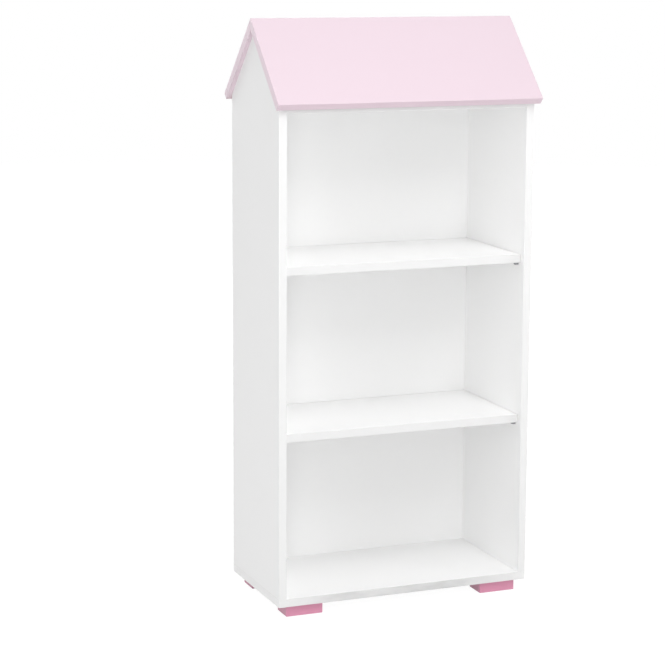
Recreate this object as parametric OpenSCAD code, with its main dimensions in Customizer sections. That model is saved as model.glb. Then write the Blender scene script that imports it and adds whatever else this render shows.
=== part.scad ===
// A bookcase shaped like a small house, made of boards.
// X runs to the right seen from the front, Y to the back and Z up.
// The origin lies on the floor, below the middle of the ridge.

/* [Body] */
// Height of the ridge above the floor
overall_h = 1300; // [1200:10:1500]
// Width over the two side panels
body_w = 600; // [460:10:900]
// Depth of the side panels, which the back panel covers from behind
body_d = 300; // [260:5:400]
// Thickness of the white boards
board_t = 18; // [16:1:22]
// Thickness of the strips glued on the boards' edges
edge_t = 1; // [0.5:0.1:2]

/* [Back panel] */
// Thickness of the fibreboard back panel
back_t = 3; // [2.5:0.5:5]
// Distance that the back panel stays inside the body's outline
back_inset = 2; // [1:0.5:5]
// Largest distance between two nails
nail_pitch = 150; // [80:5:250]

/* [Shelves] */
// Clear height under the lower shelf
lower_clear_h = 348; // [250:1:400]
// Clear height between the two shelves
middle_clear_h = 348; // [250:1:400]
// Distance of the shelves' front edges behind the side panels' front edges
shelf_setback = 15; // [5:1:24]
// Gap at each end of a loose shelf
shelf_end_gap = 0.5; // [0.5:0.25:2]
// Gap between a loose shelf and the back panel
shelf_back_gap = 0.5; // [0.5:0.5:10]
// Distance of the pin holes from the side panel's front and back edges
pin_inset = 30; // [28:1:60]

/* [Roof] */
// Thickness of the two roof panels
roof_t = 18; // [16:1:22]
// How far the eaves stand out past the body's front and back
eave_overhang = 23; // [15:1:60]
// How far the roof stands out past each side panel
end_overhang = 10; // [2:1:60]

/* [Feet] */
// Height of a foot
foot_h = 26; // [15:1:80]
// Width of a foot along the front
foot_w = 86; // [70:1:120]
// Depth of a foot
foot_d = 55; // [35:1:70]
// Distance of a foot from the body's side
foot_side_inset = 21.5; // [20:0.5:60]
// Distance of a foot from the body's front or back
foot_edge_inset = 12; // [5:1:40]

/* [Dowels] */
// Diameter of a wooden dowel
dowel_d = 8; // [6:1:8]
// Length of a wooden dowel
dowel_l = 30; // [28:1:35]
// Depth of a dowel in a board's face
dowel_face_depth = 11; // [8:1:12]

/* [Screws] */
// Length of a connector screw
connector_l = 50; // [45:1:60]
// Diameter of a connector screw's head
connector_head_d = 10; // [9:0.5:11]
// Diameter of a connector screw's thread
connector_thread_d = 6.4; // [5.5:0.1:6.6]
// Diameter of a bracket screw
screw_d = 3.5; // [3:0.1:4]
// Length of a bracket screw
screw_l = 15; // [12:1:16]
// Diameter of a foot screw
foot_screw_d = 4; // [3.5:0.1:5]
// Distance of a connector screw from a board's front or back edge
joint_inset = 50; // [40:1:70]
// Distance from a connector screw or cam to the dowel beside it
dowel_step = 40; // [25:1:45]

/* [Brackets] */
// Thickness of the angle brackets
bracket_t = 2; // [1.5:0.1:3]
// Length of an angle bracket's leg
bracket_leg = 20; // [18:1:24]
// Width of an angle bracket in the attic
bracket_w = 16; // [14:1:30]
// Width of the wall bracket
wall_bracket_w = 40; // [36:1:80]
// Diameter of the hole for the wall screw
wall_hole_d = 5.2; // [4.5:0.1:6]

/* [Hidden] */

$fn = 48;
hex = 6;
over = 1;                   // how far a cut runs past a face

// The two roof panels meet at a right angle
roof_pitch = 45;

// Clearances
roof_fit_gap = 0.5;         // top board to the roof's underside
strip_gap = 0.1;            // between the ends of two edge strips
dowel_gap = 0.1;            // round a dowel
dowel_end_gap = 1;          // past a dowel's end
screw_gap = 0.1;            // round a screw
nail_gap = 0.05;            // round a nail
pin_gap = 0.1;              // round a shelf pin
cam_gap = 0.1;              // round a cam lock

// Planes of the body
side_mid_x = body_w / 2 - board_t / 2;
side_inner_x = body_w / 2 - board_t;
front_y = -body_d / 2;
panel_back_y = body_d / 2;
back_y = panel_back_y + back_t;
core_front_y = front_y + edge_t;
floor_board_z = foot_h;
side_bottom_z = foot_h + board_t;
gable_z = overall_h - roof_t / cos(roof_pitch);
top_board_top = roof_under_z(front_y) - roof_fit_gap;
top_board_z = top_board_top - board_t;
lower_shelf_z = side_bottom_z + lower_clear_h;
upper_shelf_z = lower_shelf_z + board_t + middle_clear_h;

// Roof, in a frame whose Y runs down the slope from the ridge and whose Z points out of it
roof_w = body_w + 2 * end_overhang;
slope_l = (body_d / 2 + eave_overhang) / cos(roof_pitch);
gable_l = body_d / 2 / cos(roof_pitch);

// Places down the slope, given as distances up from the end of a side panel's slanting edge
function up_from_end(lengths) = [for (l = lengths) gable_l - l];

// Shelves
shelf_w = 2 * (side_inner_x - shelf_end_gap);
shelf_front_y = front_y + shelf_setback;
shelf_back_y = panel_back_y - shelf_back_gap;

// Shelf pins
pin_d = 5;
pin_depth = 8;
pin_bottom_gap = 1;
pin_drop = 3.5;             // pin axis below the shelf's underside
pin_shoe_l = 9;
pin_shoe_w = 8;
pin_shoe_h = 6;
pin_ys = [front_y + pin_inset, panel_back_y - pin_inset];

// Rows of fixings from front to back
joint_ys = [front_y + joint_inset, panel_back_y - joint_inset];
dowel_ys = [joint_ys[0] + dowel_step, joint_ys[1] - dowel_step];

// Dowels
dowel_chamfer = 1;
ridge_dowel_count = 4;
ridge_dowel_inset = 60;
roof_dowel_high = 122;
roof_dowel_low = 42;
roof_dowel_slopes = up_from_end([roof_dowel_high, roof_dowel_low]);

// Connector screws
connector_shank_d = 7;
connector_shank_l = 16;
connector_rim = 0.8;
connector_head_h = 3;
connector_tip = 4;
connector_tip_d = 3;
hex_socket_d = 4.6;
hex_socket_depth = 2.5;
rear_screw_high = 132;
rear_screw_low = 32;
rear_screw_slopes = up_from_end([rear_screw_high, rear_screw_low]);
cap_d = 13;
cap_h = 1.2;
cap_peg_d = 4;
cap_peg_l = 2;

// Bracket and foot screws
pan_head_h = 2;
pan_head_ratio = 2;         // head diameter over screw diameter
screw_tip = 3;
screw_clear_gap = 0.4;      // round a screw where it passes through a bracket or a foot
bracket_high = 152;
bracket_low = 82;
bracket_slopes = up_from_end([bracket_high, bracket_low]);
bracket_hole = 12;          // from the corner of an angle bracket to its screw
wall_screw_x = 12;
wall_slot_d = 7;            // hole in the back panel behind the wall hole
foot_screw_seat = 5;
foot_screw_bite = 13;
foot_screw_inset = 20;

// Cam fittings
cam_d = 15;
cam_reach = 4.5;            // how far a cam goes below the bolt's axis
cam_bottom_gap = 0.4;
cam_from_end = 34;
cam_bore_d = 8;
cam_slot = 1.6;
cam_slot_l = 8;
cam_slot_depth = 2;
cam_bolt_thread_d = 6;
cam_bolt_thread_l = 11;
cam_bolt_flange_d = 7.4;
cam_bolt_flange_l = 2;
cam_bolt_shaft_d = 5;
cam_bolt_neck_d = 3;
cam_bolt_neck_l = 4;
cam_bolt_head_d = 6.6;
cam_bolt_head_l = 3;

// Nails
nail_d = 1.6;
nail_l = 20;
nail_tip = 3;
nail_head_d = 4.5;
nail_head_h = 0.8;
nail_row_inset = 40;        // first nail from a row's end

// Height of the roof panels' underside at a distance y from the ridge
function roof_under_z(y) = gable_z - abs(y) * tan(roof_pitch);

// Evenly spaced places from first to last, no further apart than pitch
function spread(first, last, pitch) =
    let (steps = max(1, ceil((last - first) / pitch)))
    [for (i = [0:steps]) first + (last - first) * i / steps];

// Outline of a connector screw from the middle of its head to its tip
function connector_outline(gap, reach) = [
    [0, -reach],
    [connector_head_d / 2 + gap, -reach],
    [connector_head_d / 2 + gap, connector_rim],
    [connector_shank_d / 2 + gap, connector_head_h],
    [connector_shank_d / 2 + gap, connector_shank_l],
    [connector_thread_d / 2 + gap, connector_shank_l],
    [connector_thread_d / 2 + gap, connector_l - connector_tip],
    [connector_tip_d / 2 + gap, connector_l + gap],
    [0, connector_l + gap]
];

// Outline of a pan head screw whose head sits below z = 0
function pan_outline(d, l) = [
    [0, -pan_head_h],
    [d * pan_head_ratio / 2 - pan_head_h / 4, -pan_head_h],
    [d * pan_head_ratio / 2, -pan_head_h / 2],
    [d * pan_head_ratio / 2, 0],
    [d / 2, 0],
    [d / 2, l - screw_tip],
    [0, l]
];

module on_front_slope() {
    translate([0, 0, overall_h]) rotate([0, 0, 180]) rotate([-roof_pitch, 0, 0]) children();
}

module on_rear_slope() {
    translate([0, 0, overall_h]) rotate([-roof_pitch, 0, 0]) children();
}

module both_sides() {
    children();
    mirror([1, 0, 0]) children();
}

// A profile drawn in Y and Z, made solid along X from x by w
module across(x, w) {
    translate([x, 0, 0]) rotate([90, 0, 90]) linear_extrude(w) children();
}

// ---- places of the fixings, shared by the pieces and their holes ----

module at_bottom_screws() {
    for (side = [-1, 1], y = joint_ys) translate([side * side_mid_x, y, floor_board_z]) children();
}

module at_bottom_dowels() {
    for (side = [-1, 1], y = dowel_ys)
        translate([side * side_mid_x, y, side_bottom_z - dowel_face_depth]) children();
}

// At the side panel's inner face, with Z pointing out through the side panel
module at_top_bolts() {
    for (side = [0, 1], y = joint_ys)
        mirror([side, 0, 0]) translate([side_inner_x, y, top_board_z + board_t / 2])
            rotate([0, 90, 0]) children();
}

// At the bottom of a cam lock, with Z up
module at_cams() {
    for (side = [-1, 1], y = joint_ys)
        translate([side * (side_inner_x - cam_from_end), y, top_board_z + board_t / 2 - cam_reach])
            children();
}

module at_top_dowels() {
    for (side = [0, 1], y = dowel_ys)
        mirror([side, 0, 0])
            translate([side_inner_x + dowel_face_depth, y, top_board_z + board_t / 2])
                rotate([0, -90, 0]) children();
}

// At the side panel's inner face, below a shelf whose underside is at z
module at_pins(z) {
    for (side = [0, 1], y = pin_ys) mirror([side, 0, 0]) translate([side_inner_x, y, z]) children();
}

module at_roof_dowels() {
    on_front_slope() for (side = [-1, 1], s = roof_dowel_slopes)
        translate([side * side_mid_x, s, -roof_t + dowel_face_depth]) mirror([0, 0, 1]) children();
}

module at_ridge_dowels() {
    step = (roof_w - 2 * ridge_dowel_inset) / (ridge_dowel_count - 1);
    on_rear_slope() for (i = [0:ridge_dowel_count - 1])
        translate([-roof_w / 2 + ridge_dowel_inset + i * step, roof_t - dowel_face_depth, -roof_t / 2])
            rotate([-90, 0, 0]) children();
}

module at_rear_screws() {
    on_rear_slope() for (side = [-1, 1], s = rear_screw_slopes)
        translate([side * side_mid_x, s, 0]) mirror([0, 0, 1]) children();
}

// At the corner between the front roof panel's underside and a side panel's inner face
module at_brackets() {
    on_front_slope() for (side = [0, 1], s = bracket_slopes)
        mirror([side, 0, 0]) translate([side_inner_x, s, -roof_t]) children();
}

module at_bracket_screws() {
    at_brackets() {
        translate([-bracket_hole, 0, -bracket_t]) children();
        translate([-bracket_t, 0, -bracket_hole]) rotate([0, 90, 0]) children();
    }
}

module at_wall_bracket() {
    translate([0, panel_back_y, top_board_z]) children();
}

module at_wall_bracket_screws() {
    at_wall_bracket() for (side = [-1, 1])
        translate([side * wall_screw_x, -bracket_hole, -bracket_t]) children();
}

module at_foot_screws() {
    for (side = [-1, 1], end = [-1, 1], half = [-1, 1])
        translate([
            side * (body_w / 2 - foot_side_inset - foot_w / 2 + half * (foot_w / 2 - foot_screw_inset)),
            end * (body_d / 2 - foot_edge_inset - foot_d / 2),
            foot_screw_seat
        ]) children();
}

module at_nails() {
    side_zs = spread(floor_board_z + nail_row_inset, top_board_top - nail_row_inset, nail_pitch);
    row_xs = spread(-side_mid_x + nail_row_inset, side_mid_x - nail_row_inset, nail_pitch);
    for (side = [-1, 1], z = side_zs)
        translate([side * side_mid_x, back_y, z]) rotate([90, 0, 0]) children();
    for (x = row_xs, z = [floor_board_z + board_t / 2, top_board_z + board_t / 2])
        translate([x, back_y, z]) rotate([90, 0, 0]) children();
}

// ---- fixings and the holes they need ----

module dowel() {
    r = dowel_d / 2;
    rotate_extrude() polygon([
        [0, 0], [r - dowel_chamfer, 0], [r, dowel_chamfer], [r, dowel_l - dowel_chamfer],
        [r - dowel_chamfer, dowel_l], [0, dowel_l]
    ]);
}

module dowel_hole() {
    translate([0, 0, -dowel_end_gap]) cylinder(d = dowel_d + 2 * dowel_gap, h = dowel_l + 2 * dowel_end_gap);
}

module connector_screw() {
    difference() {
        rotate_extrude() polygon(connector_outline(0, 0));
        translate([0, 0, -over]) cylinder(d = hex_socket_d, h = hex_socket_depth + over, $fn = hex);
    }
}

module connector_hole() {
    rotate_extrude() polygon(connector_outline(screw_gap, over));
}

module pan_screw(d, l) {
    difference() {
        rotate_extrude() polygon(pan_outline(d, l));
        for (turn = [0, 90]) rotate([0, 0, turn])
            translate([0, 0, -pan_head_h]) cube([d, d / 4, pan_head_h], center = true);
    }
}

module pilot_hole(d, l) {
    cylinder(d = d + 2 * screw_gap, h = l + screw_gap);
}

module cam_bolt() {
    shaft_l = cam_from_end - cam_bolt_flange_l - cam_bolt_neck_l - cam_bolt_head_l / 2;
    cylinder(d = cam_bolt_thread_d, h = cam_bolt_thread_l);
    mirror([0, 0, 1]) {
        cylinder(d = cam_bolt_flange_d, h = cam_bolt_flange_l);
        cylinder(d = cam_bolt_shaft_d, h = cam_bolt_flange_l + shaft_l);
        cylinder(d = cam_bolt_neck_d, h = cam_from_end);
        translate([0, 0, cam_from_end - cam_bolt_head_l / 2])
            cylinder(d = cam_bolt_head_d, h = cam_bolt_head_l);
    }
}

module shelf_pin() {
    translate([0, 0, -pin_drop]) rotate([0, 90, 0]) cylinder(d = pin_d, h = pin_depth);
    translate([-pin_shoe_l, -pin_shoe_w / 2, -pin_shoe_h]) cube([pin_shoe_l, pin_shoe_w, pin_shoe_h]);
}

module pin_hole() {
    translate([-over, 0, -pin_drop]) rotate([0, 90, 0])
        cylinder(d = pin_d + 2 * pin_gap, h = pin_depth + pin_bottom_gap + over);
}

module nail() {
    translate([0, 0, -nail_head_h]) cylinder(d = nail_head_d, h = nail_head_h);
    rotate_extrude() polygon([[0, 0], [nail_d / 2, 0], [nail_d / 2, nail_l - nail_tip], [0, nail_l]]);
}

module nail_hole() {
    translate([0, 0, -over]) cylinder(d = nail_d + 2 * nail_gap, h = nail_l + over);
}

module angle_bracket(w) {
    rotate([90, 0, 0]) translate([0, 0, -w / 2]) linear_extrude(w) polygon([
        [0, 0], [-bracket_leg, 0], [-bracket_leg, -bracket_t], [-bracket_t, -bracket_t],
        [-bracket_t, -bracket_leg], [0, -bracket_leg]
    ]);
}

// ---- boards ----

module side_panel_blank() {
    across(side_inner_x, board_t) polygon([
        [core_front_y, side_bottom_z],
        [panel_back_y, side_bottom_z],
        [panel_back_y, roof_under_z(panel_back_y)],
        [0, gable_z],
        [core_front_y, roof_under_z(core_front_y)]
    ]);
}

module side_panel() {
    difference() {
        side_panel_blank();
        at_bottom_screws() connector_hole();
        at_bottom_dowels() dowel_hole();
        at_top_bolts() translate([0, 0, -over]) pilot_hole(cam_bolt_thread_d, cam_bolt_thread_l + over);
        at_top_dowels() dowel_hole();
        at_pins(lower_shelf_z) pin_hole();
        at_pins(upper_shelf_z) pin_hole();
        at_nails() nail_hole();
        at_roof_dowels() dowel_hole();
        at_rear_screws() connector_hole();
        at_bracket_screws() pilot_hole(screw_d, screw_l);
    }
}

module side_edging() {
    across(side_inner_x, board_t) polygon([
        [front_y, side_bottom_z],
        [core_front_y, side_bottom_z],
        [core_front_y, roof_under_z(core_front_y)],
        [front_y, roof_under_z(front_y)]
    ]);
}

module shelf(z) {
    translate([-shelf_w / 2, shelf_front_y + edge_t, z])
        cube([shelf_w, shelf_back_y - shelf_front_y - edge_t, board_t]);
}

module shelf_edging(z) {
    translate([-shelf_w / 2, shelf_front_y, z]) cube([shelf_w, edge_t, board_t]);
}

// A strip on a roof panel's end, from one place on the slope to another
module roof_end_strip(from, to) {
    translate([roof_w / 2 - edge_t, from, -roof_t]) cube([edge_t, to - from, roof_t]);
}

// A strip along the ridge or the eave that starts at a place on the slope
module roof_long_strip(from) {
    translate([-roof_w / 2, from, -roof_t]) cube([roof_w, edge_t, roof_t]);
}

module roof_core(from, to) {
    translate([-roof_w / 2 + edge_t, from, -roof_t]) cube([roof_w - 2 * edge_t, to - from, roof_t]);
}

module foot(side, end) {
    x = side * (body_w / 2 - foot_side_inset - foot_w / 2);
    y = end * (body_d / 2 - foot_edge_inset - foot_d / 2);
    color([0.82, 0.56, 0.66]) difference() {
        translate([x - foot_w / 2, y - foot_d / 2, 0]) cube([foot_w, foot_d, foot_h]);
        at_foot_screws() {
            cylinder(d = foot_screw_d + 2 * screw_clear_gap, h = foot_h);
            translate([0, 0, -foot_screw_seat - over])
                cylinder(d = foot_screw_d * pan_head_ratio + 2 * screw_clear_gap, h = foot_screw_seat + over);
        }
    }
}

// ---- nodes ----

module left_side_panel() {
    color([0.96, 0.96, 0.95]) mirror([1, 0, 0]) side_panel();
}

module right_side_panel() {
    color([0.96, 0.96, 0.95]) side_panel();
}

module bottom_board() {
    color([0.96, 0.96, 0.95]) difference() {
        translate([-body_w / 2 + edge_t, core_front_y, floor_board_z])
            cube([body_w - 2 * edge_t, panel_back_y - core_front_y, board_t]);
        at_bottom_screws() connector_hole();
        at_bottom_dowels() dowel_hole();
        at_nails() nail_hole();
        at_foot_screws() pilot_hole(foot_screw_d, foot_h - foot_screw_seat + foot_screw_bite);
    }
}

module top_board() {
    color([0.96, 0.96, 0.95]) difference() {
        translate([-side_inner_x, core_front_y, top_board_z])
            cube([2 * side_inner_x, panel_back_y - core_front_y, board_t]);
        at_top_bolts() mirror([0, 0, 1]) translate([0, 0, -over])
            cylinder(d = cam_bore_d, h = cam_from_end + over);
        at_cams() translate([0, 0, -cam_bottom_gap])
            cylinder(d = cam_d, h = cam_bottom_gap + cam_reach + board_t / 2 + over);
        at_top_dowels() dowel_hole();
        at_nails() nail_hole();
        at_wall_bracket_screws() pilot_hole(screw_d, screw_l);
    }
}

module back_panel() {
    color([0.93, 0.93, 0.92]) difference() {
        translate([-body_w / 2 + back_inset, panel_back_y, floor_board_z + back_inset])
            cube([
                body_w - 2 * back_inset, back_t,
                roof_under_z(back_y) - roof_fit_gap - floor_board_z - back_inset
            ]);
        at_nails() nail_hole();
        at_wall_bracket() translate([0, -over, -bracket_hole]) rotate([-90, 0, 0])
            cylinder(d = wall_slot_d, h = back_t + 2 * over);
    }
}

module front_roof_panel() {
    color([0.97, 0.89, 0.93]) difference() {
        on_front_slope() roof_core(edge_t, slope_l - edge_t);
        at_roof_dowels() dowel_hole();
        at_ridge_dowels() dowel_hole();
        at_bracket_screws() pilot_hole(screw_d, screw_l);
    }
}

module rear_roof_panel() {
    color([0.97, 0.89, 0.93]) difference() {
        on_rear_slope() roof_core(roof_t, slope_l - edge_t);
        at_ridge_dowels() dowel_hole();
        at_rear_screws() connector_hole();
    }
}

module upper_shelf() {
    color([0.96, 0.96, 0.95]) shelf(upper_shelf_z);
}

module lower_shelf() {
    color([0.96, 0.96, 0.95]) shelf(lower_shelf_z);
}

module left_side_edging() {
    color([0.98, 0.98, 0.97]) mirror([1, 0, 0]) side_edging();
}

module right_side_edging() {
    color([0.98, 0.98, 0.97]) side_edging();
}

module bottom_board_edging() {
    color([0.98, 0.98, 0.97]) {
        translate([-body_w / 2, front_y, floor_board_z]) cube([body_w, edge_t, board_t]);
        both_sides() translate([body_w / 2 - edge_t, core_front_y + strip_gap, floor_board_z])
            cube([edge_t, panel_back_y - core_front_y - strip_gap, board_t]);
    }
}

module top_board_edging() {
    color([0.98, 0.98, 0.97]) translate([-side_inner_x, front_y, top_board_z])
        cube([2 * side_inner_x, edge_t, board_t]);
}

module front_roof_edging() {
    color([0.95, 0.86, 0.91]) on_front_slope() {
        roof_long_strip(0);
        roof_long_strip(slope_l - edge_t);
        both_sides() roof_end_strip(edge_t + strip_gap, slope_l - edge_t - strip_gap);
    }
}

module rear_roof_edging() {
    color([0.95, 0.86, 0.91]) on_rear_slope() {
        roof_long_strip(slope_l - edge_t);
        both_sides() roof_end_strip(roof_t, slope_l - edge_t - strip_gap);
    }
}

module upper_shelf_edging() {
    color([0.98, 0.98, 0.97]) shelf_edging(upper_shelf_z);
}

module lower_shelf_edging() {
    color([0.98, 0.98, 0.97]) shelf_edging(lower_shelf_z);
}

module front_left_foot() {
    foot(-1, -1);
}

module front_right_foot() {
    foot(1, -1);
}

module rear_left_foot() {
    foot(-1, 1);
}

module rear_right_foot() {
    foot(1, 1);
}

module foot_screws() {
    color([0.75, 0.75, 0.76]) at_foot_screws()
        pan_screw(foot_screw_d, foot_h - foot_screw_seat + foot_screw_bite);
}

module bottom_dowels() {
    color([0.85, 0.72, 0.52]) at_bottom_dowels() dowel();
}

module bottom_screws() {
    color([0.75, 0.75, 0.76]) at_bottom_screws() connector_screw();
}

module top_dowels() {
    color([0.85, 0.72, 0.52]) at_top_dowels() dowel();
}

module top_cam_bolts() {
    color([0.75, 0.75, 0.76]) at_top_bolts() cam_bolt();
}

module top_cam_locks() {
    color([0.7, 0.7, 0.7]) difference() {
        at_cams() cylinder(d = cam_d - 2 * cam_gap, h = cam_reach + board_t / 2);
        at_top_bolts() mirror([0, 0, 1])
            cylinder(d = cam_bore_d, h = cam_from_end + cam_bolt_head_l);
        at_cams() translate([0, 0, cam_reach + board_t / 2]) for (turn = [0, 90])
            rotate([0, 0, turn]) cube([cam_slot_l, cam_slot, 2 * cam_slot_depth], center = true);
    }
}

module upper_shelf_pins() {
    color([0.75, 0.75, 0.76]) at_pins(upper_shelf_z) shelf_pin();
}

module lower_shelf_pins() {
    color([0.75, 0.75, 0.76]) at_pins(lower_shelf_z) shelf_pin();
}

module back_panel_nails() {
    color([0.75, 0.75, 0.76]) at_nails() nail();
}

module front_roof_dowels() {
    color([0.85, 0.72, 0.52]) at_roof_dowels() dowel();
}

module front_roof_brackets() {
    color([0.75, 0.75, 0.76]) difference() {
        at_brackets() angle_bracket(bracket_w);
        at_bracket_screws() translate([0, 0, -over])
            cylinder(d = screw_d + 2 * screw_clear_gap, h = bracket_t + 2 * over);
    }
}

module front_roof_bracket_screws() {
    color([0.75, 0.75, 0.76]) at_bracket_screws() pan_screw(screw_d, screw_l);
}

module ridge_dowels() {
    color([0.85, 0.72, 0.52]) at_ridge_dowels() dowel();
}

module rear_roof_screws() {
    color([0.75, 0.75, 0.76]) at_rear_screws() connector_screw();
}

module rear_roof_screw_caps() {
    color([0.95, 0.86, 0.91]) at_rear_screws() {
        translate([0, 0, -cap_h / 2]) cylinder(d = cap_d, h = cap_h / 2);
        translate([0, 0, -cap_h]) cylinder(d1 = cap_d - cap_h, d2 = cap_d, h = cap_h / 2);
        translate([0, 0, -cap_h / 2]) cylinder(d = cap_peg_d, h = cap_peg_l + cap_h / 2, $fn = hex);
    }
}

module wall_bracket() {
    color([0.75, 0.75, 0.76]) difference() {
        at_wall_bracket() rotate([0, 0, 90]) angle_bracket(wall_bracket_w);
        at_wall_bracket_screws() translate([0, 0, -over])
            cylinder(d = screw_d + 2 * screw_clear_gap, h = bracket_t + 2 * over);
        at_wall_bracket() translate([0, over, -bracket_hole]) rotate([90, 0, 0])
            cylinder(d = wall_hole_d, h = bracket_t + 2 * over);
    }
}

module wall_bracket_screws() {
    color([0.75, 0.75, 0.76]) at_wall_bracket_screws() pan_screw(screw_d, screw_l);
}

left_side_panel();
right_side_panel();
bottom_board();
top_board();
back_panel();
front_roof_panel();
rear_roof_panel();
upper_shelf();
lower_shelf();
left_side_edging();
right_side_edging();
bottom_board_edging();
top_board_edging();
front_roof_edging();
rear_roof_edging();
upper_shelf_edging();
lower_shelf_edging();
front_left_foot();
front_right_foot();
rear_left_foot();
rear_right_foot();
foot_screws();
bottom_dowels();
bottom_screws();
top_dowels();
top_cam_bolts();
top_cam_locks();
upper_shelf_pins();
lower_shelf_pins();
back_panel_nails();
front_roof_dowels();
front_roof_brackets();
front_roof_bracket_screws();
ridge_dowels();
rear_roof_screws();
rear_roof_screw_caps();
wall_bracket();
wall_bracket_screws();
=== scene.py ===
# The look of a white bookcase with a pink house roof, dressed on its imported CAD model.
# Lengths are metres in the model's own frame: X to the right, Y to the back, Z up.
import math

import bmesh
import bpy
from mathutils import Matrix, Vector


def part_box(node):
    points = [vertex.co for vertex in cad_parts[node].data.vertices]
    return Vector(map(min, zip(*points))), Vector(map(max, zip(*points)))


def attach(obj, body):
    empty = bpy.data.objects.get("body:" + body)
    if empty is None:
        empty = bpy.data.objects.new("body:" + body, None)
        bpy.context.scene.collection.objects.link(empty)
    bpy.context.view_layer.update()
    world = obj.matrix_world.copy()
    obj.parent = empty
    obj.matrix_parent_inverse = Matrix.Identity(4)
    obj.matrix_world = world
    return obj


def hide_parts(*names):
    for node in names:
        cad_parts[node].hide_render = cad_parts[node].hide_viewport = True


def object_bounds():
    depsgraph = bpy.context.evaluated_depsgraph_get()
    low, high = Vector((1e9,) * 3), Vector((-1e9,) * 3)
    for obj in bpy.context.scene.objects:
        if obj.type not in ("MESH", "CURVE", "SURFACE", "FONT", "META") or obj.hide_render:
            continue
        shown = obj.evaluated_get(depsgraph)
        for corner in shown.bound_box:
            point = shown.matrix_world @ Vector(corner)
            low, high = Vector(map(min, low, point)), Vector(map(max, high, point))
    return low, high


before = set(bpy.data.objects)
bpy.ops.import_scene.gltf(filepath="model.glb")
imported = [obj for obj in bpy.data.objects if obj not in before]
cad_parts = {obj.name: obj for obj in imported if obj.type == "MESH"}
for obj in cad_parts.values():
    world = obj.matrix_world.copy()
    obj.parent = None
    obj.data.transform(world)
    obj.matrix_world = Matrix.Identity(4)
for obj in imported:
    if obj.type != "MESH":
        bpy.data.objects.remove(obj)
cadLow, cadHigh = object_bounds()
scene = bpy.context.scene
mm = 0.001
print("bookcase: frame loaded")

# Turned frames. On the roof's two slopes Y runs down the slope and Z points out of it
unturned = Matrix.Identity(4)
rearSlope = Matrix.Rotation(math.radians(-45), 4, "X")
frontSlope = Matrix.Rotation(math.radians(180), 4, "Z") @ rearSlope


# Camera, placed where the photograph was taken from
cameraSettings = {
    "place": (-1.9007, -4.4619, 1.5057),
    "turn": 23.132,                 # degrees to the right of straight ahead
    "tilt": 10.217,                 # degrees down
    "roll": 0.5,                    # degrees, anticlockwise
    "lens": 118.41,
    "shift": (-0.0759, -0.0248),
}


def makeCamera(settings):
    data = bpy.data.cameras.new("photoCamera")
    data.lens = settings["lens"]
    data.shift_x, data.shift_y = settings["shift"]
    camera = bpy.data.objects.new("photoCamera", data)
    scene.collection.objects.link(camera)
    turn = Matrix.Rotation(math.radians(-settings["turn"]), 4, "Z")
    tilt = Matrix.Rotation(math.radians(90 - settings["tilt"]), 4, "X")
    roll = Matrix.Rotation(math.radians(settings["roll"]), 4, "Z")
    camera.matrix_world = Matrix.Translation(settings["place"]) @ turn @ tilt @ roll
    scene.camera = camera


makeCamera(cameraSettings)
print("bookcase: camera placed")


class Wire:                         # a socket that can stand in a sum
    def __init__(self, book, socket):
        self.book = book
        self.socket = socket

    def worked(self, operation, first, second):
        return self.book.node("Math", {"operation": operation}, {0: first, 1: second})

    def __add__(self, other):
        return self.worked("ADD", self, other)

    def __radd__(self, other):
        return self.worked("ADD", other, self)

    def __sub__(self, other):
        return self.worked("SUBTRACT", self, other)

    def __rsub__(self, other):
        return self.worked("SUBTRACT", other, self)

    def __mul__(self, other):
        return self.worked("MULTIPLY", self, other)

    def __rmul__(self, other):
        return self.worked("MULTIPLY", other, self)

    def over(self, limit):
        return self.worked("GREATER_THAN", self, limit)

    def orAlso(self, other):
        return self.worked("MAXIMUM", self, other)


class NodeBook:                     # adds nodes to a material's or a world's tree
    def __init__(self, tree):
        self.tree = tree

    def node(self, kind, settings=None, inputs=None, out=0):
        made = self.tree.nodes.new("ShaderNode" + kind)
        for name, value in (settings or {}).items():
            if name == "stops":
                self.fillRamp(made.color_ramp, value)
            else:
                setattr(made, name, value)
        for name, value in (inputs or {}).items():
            if isinstance(value, Wire):
                self.tree.links.new(value.socket, made.inputs[name])
            else:
                made.inputs[name].default_value = value
        return Wire(self, made.outputs[out])

    def fillRamp(self, ramp, stops):
        while len(ramp.elements) < len(stops):
            ramp.elements.new(1)
        for element, (position, colour) in zip(ramp.elements, stops):
            element.position = position
            element.color = (*colour, 1)

    def seenDirectly(self):         # 1 for what the camera sees, also in gloss and through glass
        ray = self.node("LightPath").socket.node.outputs
        seen = Wire(self, ray["Is Camera Ray"])
        for other in ("Is Glossy Ray", "Is Transmission Ray"):
            seen = seen.orAlso(Wire(self, ray[other]))
        return seen


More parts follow.
